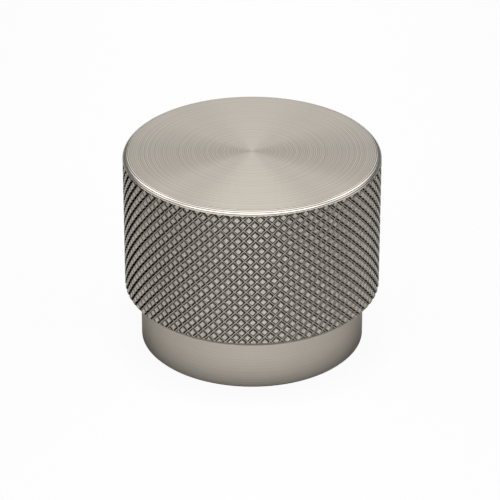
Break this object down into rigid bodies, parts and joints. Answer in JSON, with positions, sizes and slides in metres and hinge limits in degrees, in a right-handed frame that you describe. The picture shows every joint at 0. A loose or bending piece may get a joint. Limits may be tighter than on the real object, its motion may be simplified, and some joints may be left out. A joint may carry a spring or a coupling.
{
  "type": "furniture knob",
  "caption": "Round furniture knob: a diamond-knurled head with a turned flat face, on a narrower plain foot with a blind tapped hole in its base.",
  "frame": {"origin": "centre of the foot's flat base, where the knob meets the furniture", "axes": "+Z along the knob's axis, from the base to the turned face; the knob is the same all round, so X and Y have no preferred direction"},
  "size_m": [0.032, 0.032, 0.0256],
  "materials": {
    "metal": "satin turned metal, warm grey"
  },
  "bodies": {
    "root": {"knob": "metal"}
  },
  "joints": []
}
